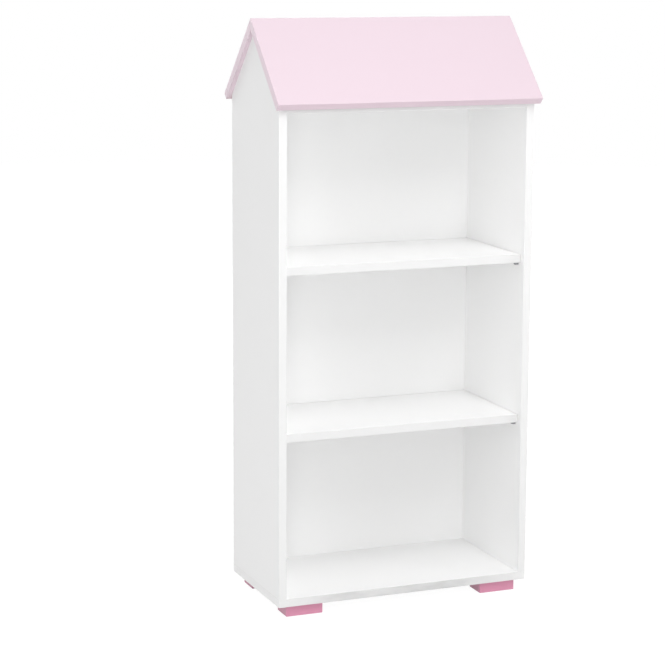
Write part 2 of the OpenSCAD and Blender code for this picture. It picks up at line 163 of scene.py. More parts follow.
class Finish(NodeBook):             # one material around its Principled shader
    def __init__(self, name):
        self.material = bpy.data.materials.new(name)
        self.material.use_nodes = True
        super().__init__(self.material.node_tree)
        self.shader = self.tree.nodes["Principled BSDF"]
        self.place = self.node("TexCoord", out="Object")

    def stretched(self, scale):
        return self.node("Mapping", None, {"Vector": self.place, "Scale": scale})

    def noise(self, scale, detail, stretch=(1, 1, 1)):
        return self.node(
            "TexNoise", None, {"Vector": self.stretched(stretch), "Scale": scale, "Detail": detail}
        )

    def blend(self, mask, first, second):
        colours = [c if isinstance(c, Wire) else (*c, 1) for c in (first, second)]
        return self.node(
            "Mix", {"data_type": "RGBA"}, {0: mask, 6: colours[0], 7: colours[1]}, out=2
        )

    def paintedShade(self, look):             # painted shade that thins out to the left and the right, broken up by noise
        sideways = self.node("SeparateXYZ", None, {"Vector": self.place})
        near, far = look["within"]
        nearness = self.node("MapRange", None, {
            "Value": self.node("Math", {"operation": "ABSOLUTE"}, {0: sideways}),
            "From Min": near, "From Max": far, "To Min": 1.0, "To Max": look["atEnds"],
        })
        breakup = self.noise(*look["shadeBreakup"])
        return nearness * (look["patchy"] * breakup + look["even"])

    def use(self, name, value):
        if isinstance(value, Wire):
            self.tree.links.new(value.socket, self.shader.inputs[name])
        else:
            self.shader.inputs[name].default_value = value

    def roughen(self, level, *swings):  # swings: how far the roughness varies, and with which noise
        for reach, noise in swings:
            level = level + reach * (noise - 0.5)
        self.use("Roughness", level)

    def emboss(self, height, strength, depth):
        bump = self.node("Bump", None, {"Strength": strength, "Distance": depth, "Height": height})
        self.use("Normal", bump)


# In the looks below a noise is (scale, detail, stretch), where the stretch may be left out,
# and a gloss is how far the pattern of that name varies the roughness.

# Melamine faces: a fine pearl grain, and a faint cloudiness that only shows up close
melamineGrain = {
    "cloud": (9, 4),
    "cloudGloss": 0.06,
    "pearlGloss": 0.10,
    "strength": 0.35,
}
whiteMelamineLook = {
    "colour": (0.940, 0.940, 0.938),
    "clouded": (0.930, 0.930, 0.929),
    "roughness": 0.42,
    "pearl": (1500, 2),
    "pearlDepth": 0.05 * mm,
}
pinkMelamineLook = {
    "colour": (0.711, 0.585, 0.648),
    "clouded": (0.703, 0.576, 0.639),
    "roughness": 0.40,
    "pearl": (1500, 2),
    "pearlDepth": 0.05 * mm,
}


def melamine(name, look):
    grain = melamineGrain
    finish = Finish(name)
    cloud = finish.noise(*grain["cloud"])
    pearl = finish.noise(*look["pearl"])
    finish.use("Base Color", finish.blend(cloud, look["colour"], look["clouded"]))
    finish.roughen(look["roughness"], (grain["pearlGloss"], pearl), (grain["cloudGloss"], cloud))
    finish.emboss(pearl, grain["strength"], look["pearlDepth"])
    return finish.material


# Edge strips: smoother than the faces, with faint ripples from the scraper
stripGrain = {
    "cloud": (25, 3),
    "ripple": (260, 1),
    "grain": (2200, 2),
    "rippleGloss": 0.12,
    "rippleHeight": 0.7,
    "grainHeight": 0.3,
    "strength": 0.25,
    "depth": 0.06 * mm,
}
# The front strips are darker than the board faces: partly a greyer edging, partly painted shade against the
# strong front lamps
whiteStripLook = {
    "colour": (0.756, 0.756, 0.754),
    "clouded": (0.747, 0.747, 0.746),
    "roughness": 0.36,
}
# The shelf fronts: the same edging with a little more painted shade
shelfStripLook = {
    "colour": (0.733, 0.733, 0.731),
    "clouded": (0.724, 0.724, 0.723),
    "roughness": 0.36,
}
# The end strips, which face sideways: the same edging kept lighter, as painted light
whiteEndStripLook = {
    "colour": (0.915, 0.915, 0.913),
    "clouded": (0.905, 0.905, 0.904),
    "roughness": 0.36,
}
# The bottom board's strips: painted shade on their front, darker in the middle and lighter towards the ends
shadedBottomStripLook = {
    "colour": (0.790, 0.790, 0.788),
    "clouded": (0.768, 0.768, 0.766),
    "roughness": 0.40,
    "paintedShade": {                         # painted shade along the bottom front, darkest in the middle
        "colour": (0.559, 0.559, 0.557),
        "within": (0.12, 0.29),         # distance from the middle over which the painted shade thins out
        "atEnds": 0.15,                 # share of the painted shade that is left towards the ends
        "shadeBreakup": (38, 4, (0.5, 1, 1.6)),
        "patchy": 1.1,
        "even": 0.15,
    },
}
# The pink end strips: a lighter copy of the pink edging, as painted light on the sideways ends
pinkEndStripLook = {
    "colour": (0.830, 0.697, 0.763),
    "clouded": (0.817, 0.683, 0.750),
    "roughness": 0.36,
}
pinkStripLook = {
    "colour": (0.714, 0.574, 0.643),
    "clouded": (0.702, 0.561, 0.630),
    "roughness": 0.36,
}


def edgeStrip(name, look):
    finish = Finish(name)
    cloud = finish.noise(*stripGrain["cloud"])
    ripple = finish.noise(*stripGrain["ripple"])
    grain = finish.noise(*stripGrain["grain"])
    colour = finish.blend(cloud, look["colour"], look["clouded"])
    if "paintedShade" in look:
        colour = finish.blend(finish.paintedShade(look["paintedShade"]), colour, look["paintedShade"]["colour"])
    finish.use("Base Color", colour)
    finish.roughen(look["roughness"], (stripGrain["rippleGloss"], ripple))
    height = stripGrain["rippleHeight"] * ripple + stripGrain["grainHeight"] * grain
    finish.emboss(height, stripGrain["strength"], stripGrain["depth"])
    return finish.material


# Raw chipboard, where a board carries no strip
chipboardLook = {
    "stops": [
        (0.0, (0.20, 0.12, 0.06)),
        (0.30, (0.42, 0.29, 0.16)),
        (0.60, (0.60, 0.45, 0.27)),
        (1.0, (0.76, 0.62, 0.42)),
    ],
    "chipScale": 480,
    "chipStretch": (0.45, 0.45, 1.2),
    "dust": (2600, 3),
    "chipShare": 0.65,
    "dustShare": 0.35,
    "roughness": 0.86,
    "dustGloss": 0.1,
    "strength": 0.6,
    "depth": 0.25 * mm,
}


def chipboard(look):
    finish = Finish("rawChipboard")
    chips = finish.node(
        "TexVoronoi",
        {"feature": "F1"},
        {"Vector": finish.stretched(look["chipStretch"]), "Scale": look["chipScale"]},
        out="Color",
    )
    tone = finish.node("RGBToBW", None, {"Color": chips})
    dust = finish.noise(*look["dust"])
    mixed = look["chipShare"] * tone + look["dustShare"] * dust
    shown = finish.node("ValToRGB", {"stops": look["stops"]}, {"Fac": mixed})
    finish.use("Base Color", shown)
    finish.roughen(look["roughness"], (look["dustGloss"], dust))
    finish.emboss(mixed, look["strength"], look["depth"])
    return finish.material


# The back panel: white foil towards the shelves, plain brown fibreboard behind
foilLook = {
    "colour": (0.894, 0.894, 0.892),
    "clouded": (0.884, 0.884, 0.883),
    "roughness": 0.46,
    "pearl": (1100, 2),
    "pearlDepth": 0.06 * mm,
}
fibreLook = {
    "stops": [
        (0.0, (0.20, 0.115, 0.058)),
        (0.45, (0.315, 0.190, 0.100)),
        (0.75, (0.375, 0.235, 0.130)),
        (1.0, (0.46, 0.31, 0.18)),
    ],
    "cloud": (7, 4),
    "across": (700, 3, (1, 1, 0.12)),
    "along": (900, 3, (0.15, 1, 1)),
    "speck": (1500, 2),
    "shares": (0.3, 0.3, 0.25, 0.15),   # of the four patterns, in that order
    "contrast": 1.6,
    "darker": 0.3,
    "roughness": 0.78,
    "fibreGloss": 0.25,
    "strength": 0.45,
    "depth": 0.2 * mm,
}


def rawFibre(look):
    finish = Finish("rawFibreboard")
    patterns = [finish.noise(*look[name]) for name in ("cloud", "across", "along", "speck")]
    parts = [share * pattern for share, pattern in zip(look["shares"], patterns)]
    fibres = parts[0] + parts[1] + parts[2] + parts[3]
    shade = look["contrast"] * fibres - look["darker"]
    shown = finish.node("ValToRGB", {"stops": look["stops"]}, {"Fac": shade})
    finish.use("Base Color", shown)
    finish.roughen(look["roughness"], (look["fibreGloss"], fibres))
    finish.emboss(fibres, look["strength"], look["depth"])
    return finish.material


# The feet: beech blocks under a darker pink lacquer that shows the grain a little
footLook = {
    "colour": (0.665, 0.289, 0.411),
    "deep": (0.620, 0.251, 0.370),
    "grain": (420, 4, (0.08, 1, 1)),
    "peel": (300, 1),                   # the lacquer's orange peel
    "roughness": 0.34,
    "peelGloss": 0.10,
    "grainGloss": 0.06,
    "grainHeight": 0.6,
    "peelHeight": 0.4,
    "strength": 0.4,
    "depth": 0.12 * mm,
}


def pinkLacquer(look):
    finish = Finish("pinkLacquer")
    grain = finish.noise(*look["grain"])
    peel = finish.noise(*look["peel"])
    finish.use("Base Color", finish.blend(grain, look["colour"], look["deep"]))
    finish.roughen(look["roughness"], (look["peelGloss"], peel), (look["grainGloss"], grain))
    height = look["grainHeight"] * grain + look["peelHeight"] * peel
    finish.emboss(height, look["strength"], look["depth"])
    return finish.material


# Zinc: bright on the screws, duller on the cast cams, dark on the shelf pins
zincLooks = {
    "pinSteel": {"light": (0.33, 0.33, 0.34), "dark": (0.22, 0.22, 0.23), "roughness": 0.38},
    "zincPlate": {"light": (0.74, 0.75, 0.77), "dark": (0.60, 0.60, 0.60), "roughness": 0.30},
    "castZinc": {"light": (0.60, 0.60, 0.61), "dark": (0.44, 0.44, 0.45), "roughness": 0.46},
}
zincGrain = {
    "bloom": (420, 3),
    "grain": (3200, 2),
    "bloomGloss": 0.18,
    "grainGloss": 0.08,
    "strength": 0.3,
    "depth": 0.02 * mm,
}


def zinc(name):
    look = zincLooks[name]
    finish = Finish(name)
    bloom = finish.noise(*zincGrain["bloom"])
    grain = finish.noise(*zincGrain["grain"])
    finish.use("Metallic", 1.0)
    finish.use("Base Color", finish.blend(bloom, look["light"], look["dark"]))
    swings = (zincGrain["bloomGloss"], bloom), (zincGrain["grainGloss"], grain)
    finish.roughen(look["roughness"], *swings)
    finish.emboss(grain, zincGrain["strength"], zincGrain["depth"])
    return finish.material


# Beech dowels, with the grain along each one
beechLook = {
    "light": (0.72, 0.52, 0.33),
    "dark": (0.50, 0.32, 0.17),
    "grain": (900, 4),
    "fleck": (2400, 2),
    "fleckFrom": 0.62,                  # noise above this is a fleck
    "grainShare": 0.7,
    "fleckShare": 0.3,
    "roughness": 0.62,
    "grainGloss": 0.15,
    "strength": 0.4,
    "depth": 0.08 * mm,
}


def beech(name, stretch, look=beechLook):
    finish = Finish(name)
    grain = finish.noise(*look["grain"], stretch)
    flecks = finish.noise(*look["fleck"], stretch).over(look["fleckFrom"])
    darkness = look["grainShare"] * grain + look["fleckShare"] * flecks
    finish.use("Base Color", finish.blend(darkness, look["light"], look["dark"]))
    finish.roughen(look["roughness"], (look["grainGloss"], grain))
    finish.emboss(grain, look["strength"], look["depth"])
    return finish.material


whiteFace = melamine("whiteMelamine", whiteMelamineLook)
pinkFace = melamine("pinkMelamine", pinkMelamineLook)
foilFace = melamine("whiteFoil", foilLook)
# edging in lit and shaded copies: painted shade on the fronts, painted light on the ends
whiteStrip = edgeStrip("whiteEdgeStrip", whiteStripLook)
shelfStrip = edgeStrip("shelfEdgeStrip", shelfStripLook)
whiteEndStrip = edgeStrip("whiteEndStrip", whiteEndStripLook)
pinkEndStrip = edgeStrip("pinkEndStrip", pinkEndStripLook)
# the bottom board's strips, with painted shade in the middle of the front
shadedBottomStrip = edgeStrip("shadedBottomEdgeStrip", shadedBottomStripLook)
pinkStrip = edgeStrip("pinkEdgeStrip", pinkStripLook)
rawEdge = chipboard(chipboardLook)
rawBack = rawFibre(fibreLook)
lacquer = pinkLacquer(footLook)
zincPlate = zinc("zincPlate")
pinSteel = zinc("pinSteel")
castZinc = zinc("castZinc")
beechUpright = beech("beechUpright", (1, 1, 0.07))
beechAcross = beech("beechAcross", (0.07, 1, 1))
beechSlanted = beech("beechSlanted", (1, 0.1, 0.1))
print("bookcase: finishes mixed")


tiny = 0.01 * mm                    # points and planes nearer than this are the same
flat = math.radians(1)              # neighbouring faces that turn less than this become one


def cleanCopy(nodeName):            # a CAD node's mesh with its loose triangles joined up
    bm = bmesh.new()
    bm.from_mesh(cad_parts[nodeName].data)
    bmesh.ops.remove_doubles(bm, verts=bm.verts, dist=tiny)
    bmesh.ops.dissolve_limit(
        bm, angle_limit=flat, verts=bm.verts, edges=bm.edges, use_dissolve_boundaries=False,
    )
    return bm


def solidsOf(nodeName, turned=unturned):    # the box of each solid, in a turned frame
    bm = cleanCopy(nodeName)
    bmesh.ops.transform(bm, matrix=turned.inverted(), verts=bm.verts)
    boxes = []
    for first in bm.verts:
        if first.tag:
            continue
        first.tag = True
        waiting, places = [first], []
        while waiting:
            vert = waiting.pop()
            places.append(vert.co.copy())
            for edge in vert.link_edges:
                other = edge.other_vert(vert)
                if not other.tag:
                    other.tag = True
                    waiting.append(other)
        boxes.append((Vector(map(min, zip(*places))), Vector(map(max, zip(*places)))))
    bm.free()
    return boxes


def addPiece(bm, name, finishes, body, slot, *nodes):
    mesh = bpy.data.meshes.new(name)
    bm.to_mesh(mesh)
    bm.free()
    for finish in finishes:
        mesh.materials.append(finish)
    piece = bpy.data.objects.new(name, mesh)
    scene.collection.objects.link(piece)
    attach(piece, body)
    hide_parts(*nodes)
    return piece


def bevelEdges(bm, edges, width, segments):
    made = bmesh.ops.bevel(
        bm, geom=edges, offset=width, offset_type="OFFSET", affect="EDGES",
        segments=segments, profile=0.5, material=-1,
    )
    for face in made["faces"]:
        face.smooth = True


arrisKind = {
    "longer": 10 * mm,              # than the edges round a drilled hole's mouth
    "sharper": math.radians(25),    # than the edges down its wall
}


def isArris(edge):
    turned = edge.calc_face_angle(0) > arrisKind["sharper"]
    return turned and edge.calc_length() > arrisKind["longer"]


def softenArrises(bm, width, segments):     # leaves the edges of the drilled holes alone
    bevelEdges(bm, [edge for edge in bm.edges if isArris(edge)], width, segments)


def shadeByAngle(piece, degrees):
    piece.data.shade_smooth()
    piece.data.set_sharp_from_angle(angle=math.radians(degrees))


# Boards: the CAD boards with their drilled holes, arrises taken off, and raw edges under the faces
boardSettings = {
    "arris": 0.25 * mm,
    "arrisSegments": 2,
    "skin": 0.3 * mm,                       # how deep a face's bevelled arris may reach
    "facing": 0.3,                          # how much of a skin face's normal points outwards, at least
    "boards": [
        # piece, CAD node, body, face finish, slot, way through the board's thickness
        ("leftSideBoard", "left_side_panel", "case", whiteFace, "white_board", (1, 0, 0)),
        ("rightSideBoard", "right_side_panel", "case", whiteFace, "white_board", (1, 0, 0)),
        ("bottomBoard", "bottom_board", "case", whiteFace, "white_board", (0, 0, 1)),
        ("topBoard", "top_board", "case", whiteFace, "white_board", (0, 0, 1)),
        ("upperShelfBoard", "upper_shelf", "upper_shelf", whiteFace, "white_board", (0, 0, 1)),
        ("lowerShelfBoard", "lower_shelf", "lower_shelf", whiteFace, "white_board", (0, 0, 1)),
        ("frontRoofBoard", "front_roof_panel", "case", pinkFace, "pink_board", frontSlope.col[2][:3]),
        ("rearRoofBoard", "rear_roof_panel", "case", pinkFace, "pink_board", rearSlope.col[2][:3]),
    ],
}


def faceOrCore(bm, through, settings):      # material 0 on the two faces, 1 on edges and in holes
    through = Vector(through)
    depths = [vert.co.dot(through) for vert in bm.verts]
    low, high = min(depths), max(depths)
    for face in bm.faces:
        depth = face.calc_center_median().dot(through)
        onSkin = min(depth - low, high - depth) < settings["skin"]
        facing = abs(face.normal.dot(through)) > settings["facing"]
        face.material_index = 0 if onSkin and facing else 1


def makeBoards(settings):
    for name, node, body, finish, slot, through in settings["boards"]:
        bm = cleanCopy(node)
        softenArrises(bm, settings["arris"], settings["arrisSegments"])
        faceOrCore(bm, through, settings)
        addPiece(bm, name, [finish, rawEdge], body, slot, node)


makeBoards(boardSettings)
print("bookcase: boards made")


# Back panel: a thin sheet, foiled on the front only
backSettings = {"arris": 0.2 * mm, "arrisSegments": 1}


def makeBackPanel(settings):
    bm = cleanCopy("back_panel")
    softenArrises(bm, settings["arris"], settings["arrisSegments"])
    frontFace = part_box("back_panel")[0].y
    for face in bm.faces:
        onFoil = face.calc_center_median().y < frontFace + tiny
        face.material_index = 0 if onFoil else 1
        face.smooth = False
    addPiece(bm, "backSheet", [foilFace, rawBack], "case", "white_fibreboard", "back_panel")


makeBackPanel(backSettings)
print("bookcase: back panel made")


# Edge strips: each is rounded over along the edges of its outer side
stripSettings = {
    "radius": 0.8 * mm,
    "segments": 3,
    "broad": 10 * mm,                       # a strip's broad sides are wider than this
    "endways": 0.8,                         # how much of an end strip's normal points sideways, at least
    "strips": [
        # piece, CAD node, the board it is glued on, body, finish, slot
        ("leftSideStrip", "left_side_edging", "left_side_panel", "case", whiteStrip, "white_edging"),
        ("rightSideStrip", "right_side_edging", "right_side_panel", "case", whiteStrip, "white_edging"),
        # the bottom board's strips carry painted shade in the middle of their front
        ("bottomBoardStrips", "bottom_board_edging", "bottom_board", "case", shadedBottomStrip, "white_edging"),
        ("topBoardStrip", "top_board_edging", "top_board", "case", whiteStrip, "white_edging"),
        ("upperShelfStrip", "upper_shelf_edging", "upper_shelf", "upper_shelf", shelfStrip, "white_edging"),
        ("lowerShelfStrip", "lower_shelf_edging", "lower_shelf", "lower_shelf", shelfStrip, "white_edging"),
        ("frontRoofStrips", "front_roof_edging", "front_roof_panel", "case", pinkStrip, "pink_edging"),
        ("rearRoofStrips", "rear_roof_edging", "rear_roof_panel", "case", pinkStrip, "pink_edging"),
    ],
}


def outerArrises(bm, middle, broad):        # round the broad sides that face away from the board
    arrises = set()
    for face in bm.faces:
        isBroad = min(edge.calc_length() for edge in face.edges) > broad
        if isBroad and face.normal.dot(face.calc_center_median() - middle) > 0:
            arrises.update(face.edges)
    return [edge for edge in bm.edges if edge in arrises]


def makeStrips(settings):
    for name, node, board, body, finish, slot in settings["strips"]:
        low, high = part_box(board)
        bm = cleanCopy(node)
        arrises = outerArrises(bm, (low + high) / 2, settings["broad"])
        bevelEdges(bm, arrises, settings["radius"], settings["segments"])
        for face in bm.faces:               # the strips on a board's two ends take the lighter copy of the edging, painted light on the sideways faces
            face.material_index = 1 if abs(face.normal.x) > settings["endways"] else 0
        ends = pinkEndStrip if finish == pinkStrip else whiteEndStrip
        addPiece(bm, name, [finish, ends], body, slot, node)


makeStrips(stripSettings)
print("bookcase: edge strips rounded")


# Feet: blocks with their edges rounded over before they were lacquered
footSettings = {
    "rounding": 1.6 * mm,
    "segments": 4,
    "feet": {
        "frontLeftFoot": "front_left_foot",
        "frontRightFoot": "front_right_foot",
        "rearLeftFoot": "rear_left_foot",
        "rearRightFoot": "rear_right_foot",
    },
}


def makeFeet(settings):
    for name, node in settings["feet"].items():
        bm = cleanCopy(node)
        softenArrises(bm, settings["rounding"], settings["segments"])
        addPiece(bm, name, [lacquer], "case", "pink_foot", node)


makeFeet(footSettings)
print("bookcase: feet made")


def lathe(outline, steps, closed=True):     # outline: (radius, depth) in mm, turned round Z
    bm = bmesh.new()
    verts = [bm.verts.new((radius * mm, 0, depth * mm)) for radius, depth in outline]
    edges = [bm.edges.new(pair) for pair in zip(verts, verts[1:])]
    bmesh.ops.spin(
        bm, geom=verts + edges, cent=(0, 0, 0), axis=(0, 0, 1), dvec=(0, 0, 0),
        angle=2 * math.pi, steps=steps, use_merge=True, use_duplicate=False,
    )
    bmesh.ops.remove_doubles(bm, verts=bm.verts, dist=tiny)
    if closed:
        bmesh.ops.recalc_face_normals(bm, faces=bm.faces)
    return bm


def repeated(single, places):               # copies one small mesh to many places
    pattern = bpy.data.meshes.new("pattern")
    single.to_mesh(pattern)
    single.free()
    whole = bmesh.new()
    for place in places:
        before = len(whole.verts)
        whole.from_mesh(pattern)
        whole.verts.ensure_lookup_table()
        bmesh.ops.transform(whole, matrix=place, verts=whole.verts[before:])
    bpy.data.meshes.remove(pattern)
    bmesh.ops.recalc_face_normals(whole, faces=whole.faces)
    return whole


def alongZ(way):                            # the turn that lays Z along a direction
    return way.to_track_quat("Z", "Y").to_matrix().to_4x4()


def headPlace(box, towards):                # Z runs along the fixing from its head's outer face
    low, high = box
    towards = Vector(towards)
    start = (low + high) / 2 - (high - low) / 2 * towards       # multiplied axis by axis
    return Matrix.Translation(start) @ alongZ(towards)


# Nails: domed heads that stand a little proud of the back panel
nailSettings = {
    "outline": [
        (0, 0), (1.0, 0.05), (1.7, 0.22), (2.15, 0.5), (2.25, 0.7), (2.2, 0.8),
        (0.85, 0.8), (0.8, 1.0), (0.8, 17.8), (0, 20.8),
    ],
    "steps": 20,
    "smoothUnder": 50,                      # degrees
}


def makeNails(settings):
    places = [headPlace(box, (0, -1, 0)) for box in solidsOf("back_panel_nails")]
    bm = repeated(lathe(settings["outline"], settings["steps"]), places)
    piece = addPiece(bm, "backNails", [zincPlate], "case", "zinc_steel", "back_panel_nails")
    shadeByAngle(piece, settings["smoothUnder"])


makeNails(nailSettings)


# Screw caps on the rear roof: thin pink discs with a rolled rim and a peg
capSettings = {
    "outline": [
        (0, 0), (3.2, 0.04), (5.2, 0.2), (6.1, 0.5), (6.5, 0.95), (6.4, 1.2),
        (2.0, 1.2), (1.9, 3.2), (0, 3.2),
    ],
    "steps": 40,
    "smoothUnder": 45,
}


def makeCaps(settings):
    boxes = solidsOf("rear_roof_screw_caps", rearSlope)
    places = [rearSlope @ headPlace(box, (0, 0, -1)) for box in boxes]
    bm = repeated(lathe(settings["outline"], settings["steps"]), places)
    piece = addPiece(bm, "rearRoofCaps", [pinkStrip], "case", "pink_edging", "rear_roof_screw_caps")
    shadeByAngle(piece, settings["smoothUnder"])


makeCaps(capSettings)
print("bookcase: nails and caps made")


# Screws: a lathed body, a driven socket in the head and a thread wound round the core
screwSettings = {
    "connector": {
        "outline": [
            (4.6, 0), (5.0, 0.35), (5.0, 0.8), (3.5, 3.0), (3.5, 16.0), (2.3, 16.6),
            (2.3, 45.5), (1.3, 49.0), (0, 50.0),
        ],
        "socket": ("hex", 2.3, 2.5),        # kind, reach and depth
        "thread": {"core": 2.3, "crest": 3.2, "start": 17.5, "end": 45.0, "pitch": 3.0},
        "steps": 24,
    },
    "bracket": {
        "outline": [
            (2.3, 0), (3.0, 0.45), (3.5, 1.1), (3.5, 2.0), (1.75, 2.0), (1.2, 3.2),
            (1.2, 13.4), (0, 17.0),
        ],
        "socket": ("cross", 1.55, 1.5),
        "thread": {"core": 1.2, "crest": 1.75, "start": 4.0, "end": 13.2, "pitch": 1.5},
        "steps": 20,
    },
    "foot": {
        "outline": [
            (2.7, 0), (3.5, 0.5), (4.0, 1.1), (4.0, 2.0), (2.0, 2.0), (2.0, 16.0), (1.4, 17.0),
            (1.4, 32.0), (0, 36.0),
        ],
        "socket": ("cross", 1.8, 1.6),
        "thread": {"core": 1.4, "crest": 2.0, "start": 18.0, "end": 31.8, "pitch": 1.8},
        "steps": 20,
    },
}
screwCut = {
    "stepsPerTurn": 14,
    "sunk": 0.15,                           # how far the thread's foot is inside the core, mm
    "halfFoot": 0.3,                        # half the width of its foot, in pitches
    "halfArm": 0.3,                         # half the width of a cross socket's arm, over its reach
}
screwSets = {
    "smoothUnder": 40,
    "rows": [
        # kind, piece, CAD node, frame, way they are driven (None: outwards from the attic)
        ("connector", "bottomScrews", "bottom_screws", unturned, (0, 0, 1)),
        ("connector", "rearRoofScrews", "rear_roof_screws", rearSlope, (0, 0, -1)),
        ("foot", "footScrews", "foot_screws", unturned, (0, 0, 1)),
        ("bracket", "wallBracketScrews", "wall_bracket_screws", unturned, (0, 0, 1)),
        ("bracket", "roofBracketScrews", "front_roof_bracket_screws", frontSlope, None),
    ],
}


def socketCorners(kind, reach):
    if kind == "hex":
        angles = [math.radians(60 * i) for i in range(6)]
        return [(reach * math.cos(a), reach * math.sin(a)) for a in angles]
    half = reach * screwCut["halfArm"]
    arm = [(reach, -half), (reach, half), (half, half)]
    turns = [(1, 0), (0, 1), (-1, 0), (0, -1)]
    return [(x * c - y * s, x * s + y * c) for c, s in turns for x, y in arm]


def cutSocket(bm, kind, reach, depth):      # closes the open head with a socket sunk into it
    rim = [edge for edge in bm.edges if edge.is_boundary]
    corners = [bm.verts.new((x * mm, y * mm, 0)) for x, y in socketCorners(kind, reach)]
    lip = [bm.edges.new((a, b)) for a, b in zip(corners, corners[1:] + corners[:1])]
    bmesh.ops.bridge_loops(bm, edges=rim + lip)
    wall = bmesh.ops.extrude_edge_only(bm, edges=lip)["geom"]
    floorVerts = [part for part in wall if isinstance(part, bmesh.types.BMVert)]
    floorEdges = [part for part in wall if isinstance(part, bmesh.types.BMEdge)]
    bmesh.ops.translate(bm, vec=(0, 0, depth * mm), verts=floorVerts)
    floorRing = [edge for edge in floorEdges if all(v in floorVerts for v in edge.verts)]
    bmesh.ops.edgeloop_fill(bm, edges=floorRing)


def windThread(bm, core, crest, start, end, pitch):
    turns = (end - start) / pitch
    foot, half = core - screwCut["sunk"], screwCut["halfFoot"] * pitch
    section = [(foot, start - half), (crest, start), (foot, start + half)]
    verts = [bm.verts.new((radius * mm, 0, depth * mm)) for radius, depth in section]
    face = bm.faces.new(verts)
    bmesh.ops.spin(
        bm, geom=verts + list(face.edges) + [face], cent=(0, 0, 0), axis=(0, 0, 1),
        dvec=(0, 0, pitch / screwCut["stepsPerTurn"] * mm), angle=2 * math.pi * turns,
        steps=round(turns * screwCut["stepsPerTurn"]), use_merge=False, use_duplicate=False,
    )


def screwMesh(settings):
    bm = lathe(settings["outline"], settings["steps"], closed=False)
    cutSocket(bm, *settings["socket"])
    windThread(bm, **settings["thread"])
    return bm


def longWay(box):                           # the direction in which a solid is longest
    size = box[1] - box[0]
    return Vector([1.0 if size[i] == max(size) else 0.0 for i in range(3)])


def outwards(box):                          # into the roof, or into a side board away from the middle
    way = longWay(box)
    if way.x:
        way.x = math.copysign(1, (box[0] + box[1]).x)
    return way


def makeScrews(settings):
    for kind, name, node, turned, way in settings["rows"]:
        boxes = solidsOf(node, turned)
        places = [turned @ headPlace(box, way or outwards(box)) for box in boxes]
        bm = repeated(screwMesh(screwSettings[kind]), places)
        piece = addPiece(bm, name, [zincPlate], "case", "zinc_steel", node)
        shadeByAngle(piece, settings["smoothUnder"])


makeScrews(screwSets)
print("bookcase: screws made")


# Brackets: bent steel with the sharp edges off
bracketSettings = {"rounding": 0.35 * mm, "segments": 2}


def makeBrackets(settings):
    for name, node in (("wallBracket", "wall_bracket"), ("roofBrackets", "front_roof_brackets")):
        bm = cleanCopy(node)
        softenArrises(bm, settings["rounding"], settings["segments"])
        addPiece(bm, name, [zincPlate], "case", "zinc_steel", node)


makeBrackets(bracketSettings)


# Shelf pins: a round peg in the board and a small rounded shoe under the shelf
pinSettings = {
    "shoe": (9.0, 8.0, 6.0),                # length, width and height in mm, as the peg's sizes are
    "rounding": 0.9 * mm,
    "segments": 3,
    "pegRadius": 2.5,
    "pegLength": 8.0,
    "pegInShoe": 1.0,
    "pegChamfer": 0.6,
    "pegDrop": 3.5,                         # peg's axis below the shelf
    "steps": 24,
    "smoothUnder": 35,
}


def shoeMesh(settings):                     # at the origin: the side board's face, under the shelf
    length, width, height = (size * mm for size in settings["shoe"])
    bm = bmesh.new()
    bmesh.ops.create_cube(bm, size=1)
    bmesh.ops.scale(bm, vec=(length, width, height), verts=bm.verts)
    bmesh.ops.translate(bm, vec=(-length / 2, 0, -height / 2), verts=bm.verts)
    free = [                                # edges against the board and the shelf stay crisp
        e for e in bm.edges
        if all(v.co.x < -tiny for v in e.verts) or all(v.co.z < -tiny for v in e.verts)
    ]
    bevelEdges(bm, free, settings["rounding"], settings["segments"])
    return bm


def pinMesh(settings):
    radius, end, chamfer = settings["pegRadius"], settings["pegLength"], settings["pegChamfer"]
    start = -settings["pegInShoe"]
    outline = [
        (0, start), (radius, start), (radius, end - chamfer), (radius - chamfer, end), (0, end),
    ]
    whole = lathe(outline, settings["steps"])
    toX = Matrix.Rotation(math.radians(90), 4, "Y")
    drop = Matrix.Translation((0, 0, -settings["pegDrop"] * mm))
    bmesh.ops.transform(whole, matrix=drop @ toX, verts=whole.verts)
    shoe = bpy.data.meshes.new("shoe")
    made = shoeMesh(settings)
    made.to_mesh(shoe)
    made.free()
    whole.from_mesh(shoe)
    bpy.data.meshes.remove(shoe)
    return whole


def makePins(settings):
    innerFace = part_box("right_side_panel")[0].x
    for name, node in (("upperShelfPins", "upper_shelf_pins"), ("lowerShelfPins", "lower_shelf_pins")):
        places = []
        for low, high in solidsOf(node):
            side = math.copysign(1, low.x + high.x)
            where = Matrix.Translation((side * innerFace, (low.y + high.y) / 2, high.z))
            places.append(where @ Matrix.Scale(side, 4, (1, 0, 0)))
        bm = repeated(pinMesh(settings), places)
        piece = addPiece(bm, name, [pinSteel], "case", "zinc_steel", node)
        shadeByAngle(piece, settings["smoothUnder"])


makePins(pinSettings)
print("bookcase: brackets and shelf pins made")


# Dowels: fluted beech pegs with chamfered ends
dowelSettings = {
    "radius": 4.0,
    "length": 30.0,
    "chamfer": 1.0,
    "flutes": 14,
    "stepsPerFlute": 4,
    "fluteDepth": 0.35,
    "flutedFrom": 0.9,                      # grooves are cut beyond this share of the radius
    "smoothUnder": 20,
    "sets": [
        # piece, CAD node, finish, frame
        ("bottomDowels", "bottom_dowels", beechUpright, unturned),
        ("topDowels", "top_dowels", beechAcross, unturned),
        ("roofDowels", "front_roof_dowels", beechSlanted, frontSlope),
        ("ridgeDowels", "ridge_dowels", beechSlanted, rearSlope),
    ],
}


